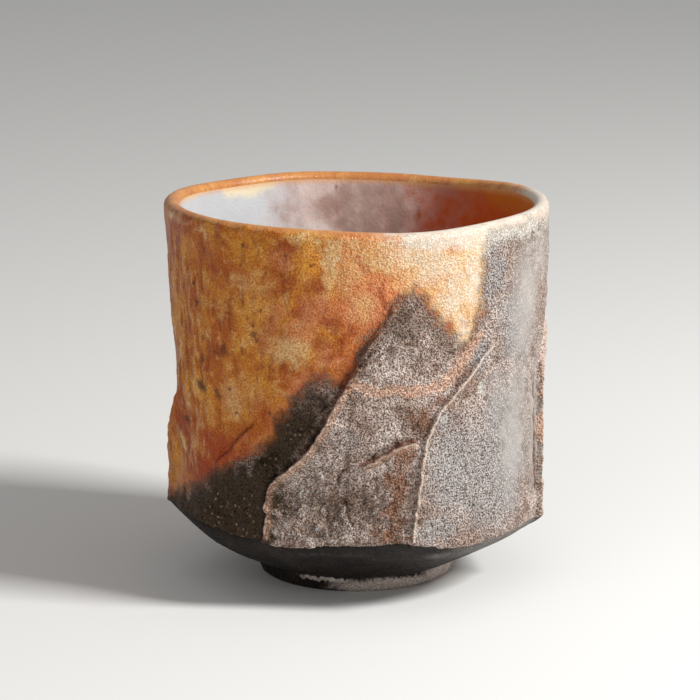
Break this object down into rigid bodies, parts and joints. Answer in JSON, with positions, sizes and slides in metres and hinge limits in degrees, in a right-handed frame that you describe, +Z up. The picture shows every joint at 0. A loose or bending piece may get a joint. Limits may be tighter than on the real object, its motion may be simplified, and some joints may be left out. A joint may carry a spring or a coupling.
{
  "type": "yunomi tea cup",
  "caption": "Tall handleless stoneware tea cup with leaning cut facets, a cut underside and a low foot ring, glazed warm on one side and ash-crusted on the other.",
  "frame": {"origin": "on the table, at the middle of the cup's outline seen from above", "axes": "+Z up along the cup's axis; -Y is the front, with the two tall torn ridges; +X to the right"},
  "size_m": [0.0846, 0.0844, 0.0842],
  "materials": {
    "stoneware_clay": "bare, smoked and rough",
    "liner_glaze": "satin",
    "flame_glaze": "satin with a fine pear-skin grain",
    "ash_crust": "gritty with a dull mineral sheen"
  },
  "bodies": {
    "root": {"thrown_body": "stoneware_clay", "foot_ring": "stoneware_clay", "liner_glaze": "liner_glaze", "flame_side_glaze": "flame_glaze", "ash_crust": "ash_crust"}
  },
  "joints": []
}
